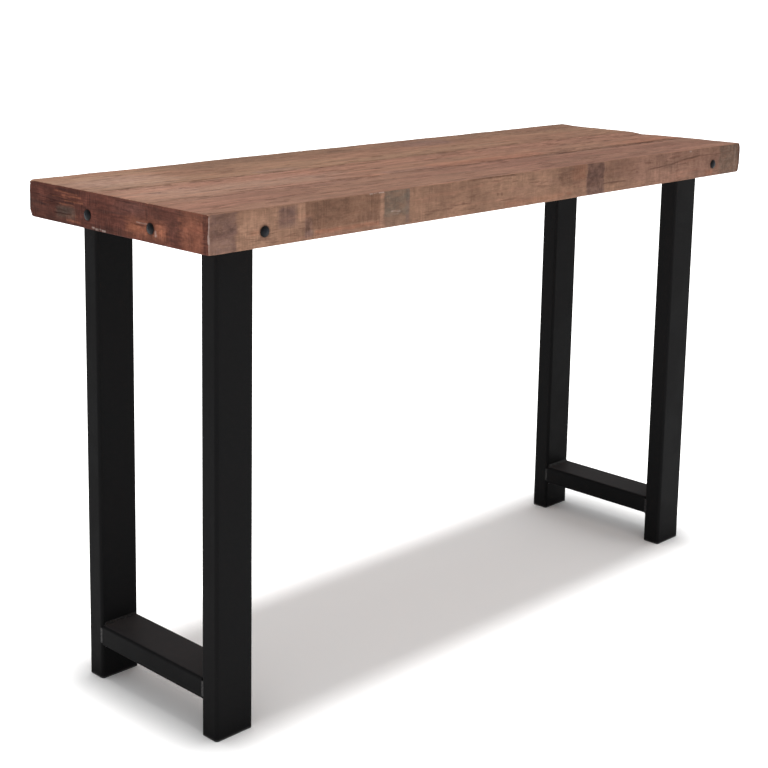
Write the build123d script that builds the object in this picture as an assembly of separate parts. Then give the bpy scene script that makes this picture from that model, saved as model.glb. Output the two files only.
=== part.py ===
from build123d import *
import os

# Console table: a box-built top of old timber on two welded steel leg frames.
# Millimetres. +X along the length, +Y to the back, +Z up.
# The origin is on the floor, under the middle of the table.

# Overall sizes
table_height = 914.0
top_length = 1512.0
top_depth = 492.0
top_thickness = 64.0

# Boards of the top
board_thickness = 22.0
back_board_width = 200.0
middle_board_width = 150.0
top_arris_radius = 2.5
upright_corner_radius = 5.0

# Dowels in the seams between the top boards
dowel_diameter = 8.0
dowel_length = 40.0
dowel_end_distance = 150.0
dowels_per_seam = 5
dowel_clearance = 0.1

# Battens inside the top
leg_batten_margin = 6.0
cross_batten_width = 60.0
cross_batten_depth = 30.0
cross_batten_offset = 205.0

# Wood screws up through the cross battens
screw_diameter = 5.0
screw_head_diameter = 10.0
screw_bite = 14.0
screw_row_share = 0.25
screw_clearance = 0.05

# Dome-headed bolts that hold the aprons to the leg battens
bolt_diameter = 8.0
bolt_head_diameter = 18.0
bolt_head_rim = 0.8
bolt_head_height = 4.0
bolt_neck_side = 8.0
bolt_neck_length = 5.0
bolt_hole_diameter = 8.6
bolt_tip_past_nut = 2.0
face_bolt_from_left = 114.0
face_bolt_from_right = 110.0
face_bolt_rise = 4.5
end_bolt_spacing = 170.0
end_bolt_shift = -17.5
end_bolt_rise = 2.5

# Barrel nuts for those bolts
barrel_nut_diameter = 12.0
barrel_nut_length = 20.0
barrel_nut_inset = 35.0
thread_clearance = 0.05
nut_clearance = 0.1

# Leg frames
frame_inset_end = 69.0
frame_inset_side = 65.0
post_width = 80.0
post_depth = 40.0
tube_wall = 3.0
tube_corner_radius = 6.0
stretcher_underside = 64.0
stretcher_height = 40.0
plate_thickness = 6.0
bead_leg = 4.0
fill_clearance = 0.05

# Foot caps
cap_flange = 3.5
cap_plug_height = 15.0
cap_plug_wall = 2.5
cap_clearance = 0.3
cap_bottom_chamfer = 0.8

# Leg bolts, washers and threaded inserts
leg_bolt_diameter = 8.0
leg_bolt_across_flats = 13.0
leg_bolt_head_height = 5.3
leg_bolt_reach = 16.0
leg_bolt_spacing = 40.0
leg_bolt_from_post = 42.0
leg_bolt_hole_diameter = 9.0
washer_diameter = 16.0
washer_thickness = 1.6
insert_diameter = 12.0
insert_length = 20.0

# Places that follow from the sizes above
half_length = top_length / 2
half_depth = top_depth / 2
top_underside = table_height - top_thickness
boards_underside = table_height - board_thickness
inner_half_length = half_length - board_thickness
inner_half_depth = half_depth - board_thickness
back_seam = half_depth - back_board_width
front_seam = back_seam - middle_board_width
batten_middle = (top_underside + boards_underside) / 2
leg_batten_width = frame_inset_end + post_width + leg_batten_margin - board_thickness
plate_underside = top_underside - plate_thickness
post_outer = half_depth - frame_inset_side
post_inner = post_outer - post_depth
stretcher_top = stretcher_underside + stretcher_height
frame_middle = half_length - frame_inset_end - post_width / 2
leg_bolt_y = post_inner - leg_bolt_from_post
tube_inner_radius = tube_corner_radius - tube_wall


def block(x_low, x_high, y_low, y_high, z_low, z_high):
    """A box between two opposite corners."""
    middle = Pos((x_low + x_high) / 2, (y_low + y_high) / 2, (z_low + z_high) / 2)
    return middle * Box(x_high - x_low, y_high - y_low, z_high - z_low)


def outline(points):
    """A flat four-sided face."""
    return make_face(Polyline(*points, close=True))


def top_envelope():
    """The finished outside of the whole top, with its arrises eased."""
    slab = block(-half_length, half_length, -half_depth, half_depth, top_underside, table_height)
    slab = fillet(slab.edges().filter_by(Axis.Z), upright_corner_radius)
    upper_edges = slab.faces().sort_by(Axis.Z)[-1].edges()
    return fillet(upper_edges, top_arris_radius)


def long_apron(side):
    """A front or back apron, mitred to the top boards and to the end aprons."""
    outer_y = side * half_depth
    inner_y = side * inner_half_depth
    outer = outline([
        (-half_length, outer_y, top_underside),
        (half_length, outer_y, top_underside),
        (half_length, outer_y, table_height),
        (-half_length, outer_y, table_height),
    ])
    inner = outline([
        (-inner_half_length, inner_y, top_underside),
        (inner_half_length, inner_y, top_underside),
        (inner_half_length, inner_y, boards_underside),
        (-inner_half_length, inner_y, boards_underside),
    ])
    return loft([outer, inner], ruled=True)


def end_apron(side):
    """A left or right end apron, mitred in the same way."""
    outer_x = side * half_length
    inner_x = side * inner_half_length
    outer = outline([
        (outer_x, -half_depth, top_underside),
        (outer_x, half_depth, top_underside),
        (outer_x, half_depth, table_height),
        (outer_x, -half_depth, table_height),
    ])
    inner = outline([
        (inner_x, -inner_half_depth, top_underside),
        (inner_x, inner_half_depth, top_underside),
        (inner_x, inner_half_depth, boards_underside),
        (inner_x, -inner_half_depth, boards_underside),
    ])
    return loft([outer, inner], ruled=True)


def top_panel():
    """The three top boards as one panel, mitred all round its underside."""
    upper = outline([
        (-half_length, -half_depth, table_height),
        (half_length, -half_depth, table_height),
        (half_length, half_depth, table_height),
        (-half_length, half_depth, table_height),
    ])
    lower = outline([
        (-inner_half_length, -inner_half_depth, boards_underside),
        (inner_half_length, -inner_half_depth, boards_underside),
        (inner_half_length, inner_half_depth, boards_underside),
        (-inner_half_length, inner_half_depth, boards_underside),
    ])
    return loft([upper, lower], ruled=True)


def top_board(y_low, y_high):
    """One long board, cut from the panel between two seams."""
    strip = block(-half_length, half_length, y_low, y_high, boards_underside, table_height)
    return top_panel() & strip


def dowel_places():
    """The middle of every seam dowel."""
    first = -half_length + dowel_end_distance
    step = (top_length - 2 * dowel_end_distance) / (dowels_per_seam - 1)
    height = table_height - board_thickness / 2
    places = []
    for seam in (back_seam, front_seam):
        for number in range(dowels_per_seam):
            places.append(Vector(first + number * step, seam, height))
    return places


def dowel(place, clearance):
    """A round peg across a seam."""
    peg = Cylinder(dowel_diameter / 2 + clearance, dowel_length + 2 * clearance)
    return Pos(place) * Rot(90, 0, 0) * peg


def leg_batten(side):
    """The block between the aprons that a leg frame bolts up to."""
    outer_x = side * inner_half_length
    inner_x = side * (inner_half_length - leg_batten_width)
    low_x = min(outer_x, inner_x)
    high_x = max(outer_x, inner_x)
    return block(low_x, high_x, -inner_half_depth, inner_half_depth, top_underside, boards_underside)


def cross_batten(side):
    """A batten that ties the top boards together."""
    middle = side * cross_batten_offset
    low_x = middle - cross_batten_width / 2
    high_x = middle + cross_batten_width / 2
    low_z = boards_underside - cross_batten_depth
    return block(low_x, high_x, -inner_half_depth, inner_half_depth, low_z, boards_underside)


def screw_places():
    """The head of every wood screw: on each cross batten, a pair shares out each board's width."""
    height = boards_underside - cross_batten_depth
    edges = (-inner_half_depth, front_seam, back_seam, inner_half_depth)
    rows = []
    for low, high in zip(edges, edges[1:]):
        rows.append(low + screw_row_share * (high - low))
        rows.append(high - screw_row_share * (high - low))
    places = []
    for side in (-1, 1):
        for row in rows:
            places.append(Vector(side * cross_batten_offset, row, height))
    return places


def wood_screw(place, clearance):
    """A countersunk screw that points up, flush with the batten's underside."""
    radius = screw_diameter / 2 + clearance
    head_radius = screw_head_diameter / 2 + clearance
    length = cross_batten_depth + screw_bite + clearance
    sketch = make_face(Polyline(
        (0, 0, 0),
        (head_radius, 0, 0),
        (radius, 0, head_radius - radius),
        (radius, 0, length - radius),
        (0, 0, length),
        close=True,
    ))
    return Pos(place) * revolve(sketch, Axis.Z)


def bolt_planes():
    """The seat of every dome-headed bolt: a plane on an apron, facing out."""
    face_z = batten_middle + face_bolt_rise
    end_z = batten_middle + end_bolt_rise
    planes = []
    for side in (-1, 1):
        for x in (-half_length + face_bolt_from_left, half_length - face_bolt_from_right):
            planes.append(Plane(origin=(x, side * half_depth, face_z), x_dir=(1, 0, 0), z_dir=(0, side, 0)))
        for half in (-0.5, 0.5):
            y = end_bolt_shift + half * end_bolt_spacing
            planes.append(Plane(origin=(side * half_length, y, end_z), x_dir=(0, 1, 0), z_dir=(side, 0, 0)))
    return planes


def bolt_shank_length():
    """From under the head to the tip, just past the barrel nut."""
    return board_thickness + barrel_nut_inset + barrel_nut_diameter / 2 + bolt_tip_past_nut


def dome_bolt():
    """A carriage bolt: a low dome, a square neck and a round shank, pointing down."""
    radius = bolt_head_diameter / 2
    dome_rise = bolt_head_height - bolt_head_rim
    dome_radius = (radius ** 2 + dome_rise ** 2) / (2 * dome_rise)
    sphere = Pos(0, 0, bolt_head_height - dome_radius) * Sphere(dome_radius)
    blank = Pos(0, 0, bolt_head_height / 2) * Cylinder(radius, bolt_head_height)
    neck = Pos(0, 0, -bolt_neck_length / 2) * Box(bolt_neck_side, bolt_neck_side, bolt_neck_length)
    length = bolt_shank_length()
    shank = Pos(0, 0, -length / 2) * Cylinder(bolt_diameter / 2, length)
    return (blank & sphere) + neck + shank


def bolt_passage():
    """The hole that a dome-headed bolt needs: a square pocket, then a round bore."""
    length = bolt_shank_length() + bolt_tip_past_nut
    pocket = Pos(0, 0, -bolt_neck_length / 2) * Box(bolt_neck_side, bolt_neck_side, bolt_neck_length)
    bore = Pos(0, 0, -length / 2) * Cylinder(bolt_hole_diameter / 2, length)
    return pocket + bore


def barrel_nut(plane):
    """An upright round nut with a cross bore on the bolt's axis."""
    middle = nut_middle(plane)
    body = Pos(middle) * Cylinder(barrel_nut_diameter / 2, barrel_nut_length)
    bore = plane * Cylinder(bolt_diameter / 2 + thread_clearance, 3 * bolt_shank_length())
    return body - bore


def nut_middle(plane):
    """Where a bolt's axis crosses its barrel nut."""
    return plane.origin - plane.z_dir * (board_thickness + barrel_nut_inset)


def nut_access(plane):
    """The bore that a barrel nut goes up, from the batten's underside."""
    middle = nut_middle(plane)
    top = middle.Z + barrel_nut_length / 2 + nut_clearance
    height = top - top_underside
    radius = barrel_nut_diameter / 2 + nut_clearance
    return Pos(middle.X, middle.Y, top_underside + height / 2) * Cylinder(radius, height)


def tube_section(width, depth):
    """The wall of a rectangular tube, in plan."""
    outside = RectangleRounded(width, depth, tube_corner_radius)
    inside = RectangleRounded(width - 2 * tube_wall, depth - 2 * tube_wall, tube_inner_radius)
    return outside - inside


def post(frame_side, face_side):
    """An upright tube, from its foot cap to the top plate."""
    length = plate_underside - cap_flange
    wall = extrude(tube_section(post_width, post_depth), length)
    y = face_side * (post_inner + post_outer) / 2
    return Pos(frame_side * frame_middle, y, cap_flange) * wall


def stretcher(frame_side):
    """The lower tube that lies between the two posts."""
    length = 2 * post_inner
    tube = extrude(tube_section(post_width, stretcher_height), length / 2, both=True)
    height = (stretcher_underside + stretcher_top) / 2
    return Pos(frame_side * frame_middle, 0, height) * Rot(90, 0, 0) * tube


def leg_bolt_places(frame_side):
    """The four leg bolts of one frame, in plan."""
    places = []
    for x_half in (-0.5, 0.5):
        for y_side in (-1, 1):
            x = frame_side * frame_middle + x_half * leg_bolt_spacing
            places.append((x, y_side * leg_bolt_y))
    return places


def top_plate(frame_side):
    """The flat plate that closes both posts and bolts to the batten."""
    plate = extrude(RectangleRounded(post_width, 2 * post_outer, tube_corner_radius), plate_thickness)
    plate = Pos(frame_side * frame_middle, 0, plate_underside) * plate
    for x, y in leg_bolt_places(frame_side):
        hole_z = plate_underside + plate_thickness / 2
        plate -= Pos(x, y, hole_z) * Cylinder(leg_bolt_hole_diameter / 2, 2 * plate_thickness)
    return plate


def weld_bead(frame_side, face_side, height, direction):
    """A straight fillet of weld in the corner between a post and a level face."""
    x_low = frame_side * frame_middle - (post_width / 2 - tube_corner_radius)
    corner_y = face_side * post_inner
    section = make_face(Polyline(
        (x_low, corner_y, height),
        (x_low, corner_y - face_side * bead_leg, height),
        (x_low, corner_y, height + direction * bead_leg),
        close=True,
    ))
    return extrude(section, post_width - 2 * tube_corner_radius, dir=(1, 0, 0))


def corner_fill(frame_side, face_side, x_side):
    """Weld dressed flush in the groove between a post's round corner and the stretcher's side."""
    radius = tube_corner_radius
    outer_x = frame_side * frame_middle + x_side * post_width / 2
    corner_y = face_side * post_inner
    low_x = min(outer_x, outer_x - x_side * radius)
    high_x = max(outer_x, outer_x - x_side * radius)
    low_y = min(corner_y, corner_y + face_side * radius)
    high_y = max(corner_y, corner_y + face_side * radius)
    low_z = stretcher_underside + radius
    high_z = stretcher_top - radius
    groove = block(low_x, high_x, low_y, high_y, low_z, high_z)
    centre = Pos(outer_x - x_side * radius, corner_y + face_side * radius, (low_z + high_z) / 2)
    return groove - centre * Cylinder(radius + fill_clearance, 2 * (high_z - low_z))


def weld_beads(frame_side):
    """Every bead of one frame."""
    beads = []
    for face_side in (-1, 1):
        beads.append(weld_bead(frame_side, face_side, stretcher_top, 1))
        beads.append(weld_bead(frame_side, face_side, stretcher_underside, -1))
        beads.append(weld_bead(frame_side, face_side, plate_underside, -1))
        for x_side in (-1, 1):
            beads.append(corner_fill(frame_side, face_side, x_side))
    return Compound(children=beads)


def foot_cap(frame_side, face_side):
    """A moulded cap: a flange the shape of the tube, and a hollow plug inside it."""
    flange = extrude(RectangleRounded(post_width, post_depth, tube_corner_radius), cap_flange)
    flange = chamfer(flange.faces().sort_by(Axis.Z)[0].edges(), cap_bottom_chamfer)
    gap = tube_wall + cap_clearance
    plug_width = post_width - 2 * gap
    plug_depth = post_depth - 2 * gap
    plug_radius = tube_inner_radius - cap_clearance
    plug = RectangleRounded(plug_width, plug_depth, plug_radius)
    plug -= RectangleRounded(plug_width - 2 * cap_plug_wall, plug_depth - 2 * cap_plug_wall, plug_radius / 2)
    plug = Pos(0, 0, cap_flange) * extrude(plug, cap_plug_height)
    y = face_side * (post_inner + post_outer) / 2
    return Pos(frame_side * frame_middle, y, 0) * (flange + plug)


def leg_bolt(x, y):
    """A hexagon-headed bolt that points up, under its washer."""
    head = extrude(RegularPolygon(leg_bolt_across_flats / 2, 6, major_radius=False), leg_bolt_head_height)
    length = washer_thickness + plate_thickness + leg_bolt_reach
    shank = Pos(0, 0, leg_bolt_head_height + length / 2) * Cylinder(leg_bolt_diameter / 2, length)
    seat = plate_underside - washer_thickness - leg_bolt_head_height
    return Pos(x, y, seat) * (head + shank)


def washer(x, y):
    """A flat washer under the plate."""
    disc = Cylinder(washer_diameter / 2, washer_thickness)
    disc -= Cylinder(leg_bolt_hole_diameter / 2, 2 * washer_thickness)
    return Pos(x, y, plate_underside - washer_thickness / 2) * disc


def threaded_insert(x, y):
    """A sleeve in the batten, flush with its underside."""
    sleeve = Cylinder(insert_diameter / 2, insert_length)
    sleeve -= Cylinder(leg_bolt_diameter / 2 + thread_clearance, 2 * insert_length)
    return Pos(x, y, top_underside + insert_length / 2) * sleeve


def insert_bore(x, y):
    """The blind hole that an insert is driven into."""
    return Pos(x, y, top_underside + insert_length / 2) * Cylinder(insert_diameter / 2, insert_length)


def wooden_parts():
    """Every timber piece, by name."""
    envelope = top_envelope()
    parts = {
        "top_board_back": top_board(back_seam, half_depth) & envelope,
        "top_board_middle": top_board(front_seam, back_seam) & envelope,
        "top_board_front": top_board(-half_depth, front_seam) & envelope,
        "front_apron": long_apron(-1) & envelope,
        "back_apron": long_apron(1) & envelope,
        "left_end_apron": end_apron(-1) & envelope,
        "right_end_apron": end_apron(1) & envelope,
        "left_leg_batten": leg_batten(-1),
        "right_leg_batten": leg_batten(1),
        "left_cross_batten": cross_batten(-1),
        "right_cross_batten": cross_batten(1),
    }
    planes = bolt_planes()
    for name in ("front_apron", "back_apron", "left_end_apron", "right_end_apron"):
        for plane in planes:
            parts[name] -= plane * bolt_passage()
    for side, name in ((-1, "left_leg_batten"), (1, "right_leg_batten")):
        for plane in planes:
            parts[name] -= plane * bolt_passage()
            parts[name] -= nut_access(plane)
        for x, y in leg_bolt_places(side):
            parts[name] -= insert_bore(x, y)
    for name in ("top_board_back", "top_board_middle", "top_board_front"):
        for place in dowel_places():
            parts[name] -= dowel(place, dowel_clearance)
    for name in list(parts):
        if name.startswith("top_board") or name.endswith("cross_batten"):
            for place in screw_places():
                parts[name] -= wood_screw(place, screw_clearance)
    return parts


def fastener_parts():
    """Every group of identical fasteners, by name."""
    planes = bolt_planes()
    places = leg_bolt_places(-1) + leg_bolt_places(1)
    return {
        "edge_dowels": Compound(children=[dowel(place, 0) for place in dowel_places()]),
        "cross_batten_screws": Compound(children=[wood_screw(place, 0) for place in screw_places()]),
        "dome_head_bolts": Compound(children=[plane * dome_bolt() for plane in planes]),
        "barrel_nuts": Compound(children=[barrel_nut(plane) for plane in planes]),
        "leg_bolts": Compound(children=[leg_bolt(x, y) for x, y in places]),
        "leg_bolt_washers": Compound(children=[washer(x, y) for x, y in places]),
        "leg_bolt_inserts": Compound(children=[threaded_insert(x, y) for x, y in places]),
    }


def frame_parts():
    """Every piece of both leg frames, by name."""
    parts = {}
    for frame_side, frame_name in ((-1, "left"), (1, "right")):
        for face_side, face_name in ((-1, "front"), (1, "back")):
            parts[f"{frame_name}_{face_name}_post"] = post(frame_side, face_side)
            parts[f"{frame_name}_{face_name}_foot_cap"] = foot_cap(frame_side, face_side)
        parts[f"{frame_name}_stretcher"] = stretcher(frame_side)
        parts[f"{frame_name}_top_plate"] = top_plate(frame_side)
        parts[f"{frame_name}_weld_beads"] = weld_beads(frame_side)
    return parts


os.makedirs("parts", exist_ok=True)
for group in (wooden_parts(), frame_parts(), fastener_parts()):
    for node, shape in group.items():
        export_step(shape, f"parts/{node}.step")
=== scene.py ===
import math
import bmesh
import bpy
import numpy as np
from mathutils import Matrix, Vector


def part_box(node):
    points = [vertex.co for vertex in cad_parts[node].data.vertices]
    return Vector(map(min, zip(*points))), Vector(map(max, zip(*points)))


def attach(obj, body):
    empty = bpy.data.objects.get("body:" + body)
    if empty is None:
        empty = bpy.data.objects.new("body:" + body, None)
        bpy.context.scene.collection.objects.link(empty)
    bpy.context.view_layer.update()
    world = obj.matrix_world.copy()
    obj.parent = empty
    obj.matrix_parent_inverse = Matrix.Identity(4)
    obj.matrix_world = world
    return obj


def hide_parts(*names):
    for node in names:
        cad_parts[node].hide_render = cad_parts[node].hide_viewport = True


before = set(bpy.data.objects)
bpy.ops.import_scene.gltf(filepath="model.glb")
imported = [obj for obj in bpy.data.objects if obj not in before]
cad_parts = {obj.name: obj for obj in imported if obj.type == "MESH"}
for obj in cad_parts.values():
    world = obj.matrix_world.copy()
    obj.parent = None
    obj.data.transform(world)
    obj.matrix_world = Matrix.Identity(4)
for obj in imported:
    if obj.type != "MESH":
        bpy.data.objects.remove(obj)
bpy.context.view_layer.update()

# The console table: seven old timber boards replace the CAD's plain ones, round its own steel and bolts.

MM = 0.001

# ------------ places, from the CAD frame (mm)


def box_mm(node):
    """A CAD node's lowest and highest corners, in millimetres."""
    low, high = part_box(node)
    return np.array(low) / MM, np.array(high) / MM


front_low = box_mm("front_apron")[0]
end_low = box_mm("left_end_apron")[0]
middle_low, middle_high = box_mm("top_board_middle")
HALF_LENGTH = -end_low[0]
HALF_DEPTH = -front_low[1]
TOP_Z = middle_high[2]
UNDER_Z = front_low[2]
BOARD = TOP_Z - middle_low[2]
BACK_SEAM = middle_high[1]
FRONT_SEAM = middle_low[1]
THICKNESS = TOP_Z - UNDER_Z


# ------------ numbers that look like old timber


def lattice(i, j, seed):
    """A repeatable random number from 0 to 1 at each whole-number place."""
    h = (i * 374761393 + j * 668265263 + seed * 1274126177) & 0xFFFFFFFF
    h = ((h ^ (h >> 13)) * 1274126177) & 0xFFFFFFFF
    return ((h ^ (h >> 16)) & 0xFFFFFF) / 0xFFFFFF


def noise(x, y, seed):
    """Smooth noise from 0 to 1, one lump per unit."""
    x, y = np.broadcast_arrays(np.asarray(x, float), np.asarray(y, float))
    i = np.floor(x).astype(np.int64)
    j = np.floor(y).astype(np.int64)
    u = x - i
    v = y - j
    u = u * u * (3 - 2 * u)
    v = v * v * (3 - 2 * v)
    low = lattice(i, j, seed) * (1 - u) + lattice(i + 1, j, seed) * u
    high = lattice(i, j + 1, seed) * (1 - u) + lattice(i + 1, j + 1, seed) * u
    return low * (1 - v) + high * v


def layered(x, y, seed, layers=3):
    """Noise in layers, each half the size of the last, from about -1 to 1."""
    total = 0.0
    for k in range(layers):
        total = total + (noise(x * 2 ** k, y * 2 ** k, seed + 17 * k) * 2 - 1) / 2 ** k
    return total / 1.6


def step(value, low, high):
    """0 below low, 1 above high, smooth between."""
    t = np.clip((value - low) / (high - low), 0, 1)
    return t * t * (3 - 2 * t)


def within(value, low, high, soft):
    """1 between low and high, fading over soft each way."""
    return step(value, low - soft, low + soft) * (1 - step(value, high - soft, high + soft))


# ------------ wear of the arrises


def eased(distance, setback):
    """How far an arris's wear sinks the face at a distance from it."""
    reach = 2.4 * setback
    t = np.clip(1 - (distance - setback) / np.maximum(reach, 1e-6), 0, 1)
    return setback * t * t


def chipped(along, seed, usual, chips):
    """The setback of a worn arris along its length: a slow wave, a fine ripple and a few chips."""
    wave = usual * (1 + 0.55 * layered(along / 70, 0.5, seed))
    ripple = 0.22 * layered(along / 6, 0.5, seed + 3, 2)
    chip = chips * step(noise(along / 16, 0.5, seed + 5), 0.80, 0.97)
    return np.maximum(wave + ripple + chip, 0.25)


def front_arris(x):
    return chipped(x, seed=11, usual=1.15, chips=2.2)


def back_arris(x):
    """Rubbed rounder on its left half, and nearly sharp towards its right end."""
    rubbed = 1.2 * within(x, -720, -350, 90) + 0.2 * step(-x, HALF_LENGTH - 22, HALF_LENGTH)
    spared = 0.7 * step(x, 590, 690)
    return np.maximum(chipped(x, seed=12, usual=1.2, chips=1.4) + rubbed - spared, 0.5)


def left_arris(y):
    near_back = 2.2 * step(y, HALF_DEPTH - 22, HALF_DEPTH)
    return chipped(y, seed=13, usual=1.15, chips=1.2) + near_back


def right_arris(y):
    return chipped(y, seed=14, usual=1.5, chips=1.6)


def corner_arris(z, seed, usual):
    """The setback of an upright corner, rounder at its top and at its bottom."""
    near_top = 0.9 * step(z, TOP_Z - 10, TOP_Z)
    near_bottom = 1.1 * step(-z, -UNDER_Z - 12, -UNDER_Z)
    return chipped(z, seed, usual, chips=0.8) + near_top + near_bottom


def front_left_corner(z):
    return corner_arris(z, seed=21, usual=0.9)


def front_right_corner(z):
    return corner_arris(z, seed=22, usual=1.3)


def back_left_corner(z):
    return corner_arris(z, seed=23, usual=3.4) + 1.2 * step(-z, -UNDER_Z - 14, -UNDER_Z)


def back_right_corner(z):
    return corner_arris(z, seed=24, usual=1.8)


def wane(x, y):
    """The worn-down stretches of the right end, which dip in its outline."""
    # Depths at given places from the front to the back.
    places = (-HALF_DEPTH, -150, -60, -6, 14, 26, 44, 120, 186, 214, 232, HALF_DEPTH)
    depths = (0.2, 0.6, 1.8, 3.6, 4.6, 3.0, 1.0, 1.5, 2.2, 2.0, 0.6, 0.2)
    reach = 55
    drop = np.interp(y, places, depths) + 0.25 * layered(y / 12, 0.5, 31)
    return drop * np.clip(1 - (HALF_LENGTH - x) / reach, 0, 1) ** 1.4


def top_sink(x, y):
    """Depth of the top surface below its highest level, from its worn edges."""
    return (
        eased(y + HALF_DEPTH, front_arris(x))
        + eased(HALF_DEPTH - y, back_arris(x))
        + eased(x + HALF_LENGTH, left_arris(y))
        + eased(HALF_LENGTH - x, right_arris(y))
        + wane(x, y)
    )


# ------------ meshes

# Pitches of the visible grids, and how many of their rows one row of the hidden side spans.
TOP_PITCH_ALONG = 4.0
TOP_PITCH_ACROSS = 1.05
TOP_ROWS_PER_HIDDEN = 9
APRON_PITCH_ALONG = 2.0
APRON_PITCH_DOWN = 1.1
APRON_ROWS_PER_HIDDEN = 12


def spread(length, pitch, close=(0.35, 0.8, 1.4, 2.1, 3.0, 4.2, 6.0)):
    """Shares from 0 to 1 along a length: close together at both ends, then about one pitch apart."""
    first = close[-1]
    count = max(int(round((length - 2 * first) / pitch)), 2)
    middle = np.linspace(first, length - first, count + 1)
    ends = np.array((0.0,) + tuple(close[:-1]))
    return np.concatenate([ends, middle, (length - ends)[::-1]]) / length


def picks_of(count, every):
    """The places in a dense row where a coarse row meets it."""
    picks = list(range(0, count - 1, every))
    if count - 1 - picks[-1] < every // 2 and len(picks) > 1:
        picks.pop()
    return picks + [count - 1]


def bridge(dense, coarse, picks):
    """Faces between a dense row of vertices and a coarse row that meets it at the picks."""
    faces = []
    for k in range(len(coarse) - 1):
        run = list(dense[picks[k]:picks[k + 1] + 1])
        faces.append([coarse[k]] + run + [coarse[k + 1]])
    return faces


def grid_faces(index):
    """Quads over a grid of vertex numbers."""
    a = index[:-1, :-1].ravel()
    b = index[1:, :-1].ravel()
    c = index[1:, 1:].ravel()
    d = index[:-1, 1:].ravel()
    return np.stack([a, b, c, d], 1).tolist()


def make_piece(name, points, faces, masks=None, smooth_angle=40):
    """A closed mesh object in metres from points in millimetres, with its masks as attributes."""
    mesh = bpy.data.meshes.new(name)
    mesh.from_pydata((np.asarray(points, float) * MM).tolist(), [], faces)
    for mask, values in (masks or {}).items():
        layer = mesh.attributes.new(mask, "FLOAT", "POINT")
        layer.data.foreach_set("value", np.asarray(values, np.float32))
    work = bmesh.new()
    work.from_mesh(mesh)
    bmesh.ops.recalc_face_normals(work, faces=work.faces)
    work.to_mesh(mesh)
    work.free()
    mesh.polygons.foreach_set("use_smooth", [True] * len(mesh.polygons))
    mesh.set_sharp_from_angle(angle=math.radians(smooth_angle))
    piece = bpy.data.objects.new(name, mesh)
    bpy.context.scene.collection.objects.link(piece)
    return piece


# ------------ stains, cracks and marks on a face

# Five stains, then darkened timber with painted shade, bleached timber with painted light, split timber
# with the painted shadow round the bolt heads, and rubbed timber.
MASKS = ("brown", "grey", "rust", "green", "pale", "dark", "light", "crack_and_shadow", "wear")


def no_marks(shape):
    """Every mask, empty."""
    return {mask: np.zeros(shape) for mask in MASKS}


def add_patches(masks, patches, s, t, seed):
    """Each patch is (mask, s from, s to, t from, t to, softness, strength), with ragged edges."""
    ragged_s = 3.0 * layered(s / 14, t / 14, seed)
    ragged_t = 2.2 * layered(s / 18, t / 9, seed + 7)
    feathered = layered(s / 30, t / 2.6, seed + 3)
    cloud = 0.88 + 0.22 * layered(s / 22, t / 12, seed + 13)
    for mask, s_from, s_to, t_from, t_to, soft, strength in patches:
        share = min(1.0, soft / 3.0)
        ss = s + ragged_s * share + feathered * max(0.0, soft - 3.0)
        tt = t + ragged_t * share
        s_soft = min(soft, 0.5 * (s_to - s_from))
        t_soft = min(soft, 0.5 * (t_to - t_from))
        shape = within(ss, s_from, s_to, s_soft) * within(tt, t_from, t_to, t_soft)
        masks[mask] = np.maximum(masks[mask], strength * shape * cloud)


def add_crack(masks, sink, s, t, points, width, depth, seed):
    """An open split that follows a few points, thinning out towards both ends."""
    places = np.array(points, float)
    line = np.interp(s, places[:, 0], places[:, 1]) + 0.9 * layered(s / 13, 0.5, seed, 3)
    along = within(s, places[0, 0], places[-1, 0], 0.12 * (places[-1, 0] - places[0, 0]))
    broad = width * (0.45 + 0.55 * along) * (0.7 + 0.6 * noise(s / 9, 0.5, seed + 1))
    shape = np.exp(-((t - line) / broad) ** 2) * along
    sink += depth * shape
    darkness = min(0.3 + depth / 1.2, 1.0)
    masks["crack_and_shadow"] = np.maximum(masks["crack_and_shadow"], darkness * np.minimum(1.25 * shape, 1))


def add_bolt_shadows_and_bruises(masks, sink, s, t, bolts, seed):
    """A painted shadow ring tight round each bolt head, and a bruised, darkened ring of timber beyond it,
    by distance from its middle.
    """
    for bolt_s, bolt_t in bolts:
        distance = np.hypot(s - bolt_s, t - bolt_t) + 0.8 * layered(s / 7, t / 7, seed)
        # Painted shadow: a dark ring tight round the head, in the crack mask.
        shadowed = 0.8 * (1 - step(distance, 9.8, 11.6))
        bruised = 0.26 * (1 - step(distance, 11, 17))
        masks["crack_and_shadow"] = np.maximum(masks["crack_and_shadow"], shadowed)
        masks["dark"] = np.maximum(masks["dark"], bruised)
        sink += 0.30 * (1 - step(distance, 9.2, 11.6))


# ------------ top boards


def random_splits(rng, count, x_range, y_range, length, width, depth):
    """Short splits along the grain, each a start, an end and a size."""
    splits = []
    for _ in range(count):
        x = rng.uniform(*x_range)
        y = rng.uniform(*y_range)
        long = rng.uniform(*length)
        drift = rng.uniform(-0.012, 0.012) * long
        splits.append(((x, y), (x + long, y + drift), rng.uniform(*width), rng.uniform(*depth)))
    return splits


def top_splits():
    """Every split in the top: crowded along both seams, scattered elsewhere."""
    near_back = (BACK_SEAM - 14, BACK_SEAM + 14)
    near_front = (FRONT_SEAM - 14, FRONT_SEAM + 14)
    # How many, then the ranges of x, y, length, width and depth.
    groups = (
        (64, (-745, 690), near_back, (16, 70), (1.2, 2.4), (0.4, 1.1)),
        (64, (-745, 690), near_front, (16, 70), (1.2, 2.4), (0.4, 1.1)),
        (44, (120, 700), (FRONT_SEAM - 11, FRONT_SEAM + 9), (20, 70), (1.3, 2.5), (0.7, 1.4)),
        (46, (-745, 700), (BACK_SEAM - 64, BACK_SEAM + 8), (14, 60), (1.1, 2.2), (0.4, 1.1)),
        (150, (-745, 700), (-238, 236), (10, 48), (0.9, 1.8), (0.45, 1.2)),
    )
    rng = np.random.default_rng(7)
    splits = []
    for group in groups:
        splits += random_splits(rng, *group)
    return splits


TOP_SPLITS = top_splits()
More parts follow.
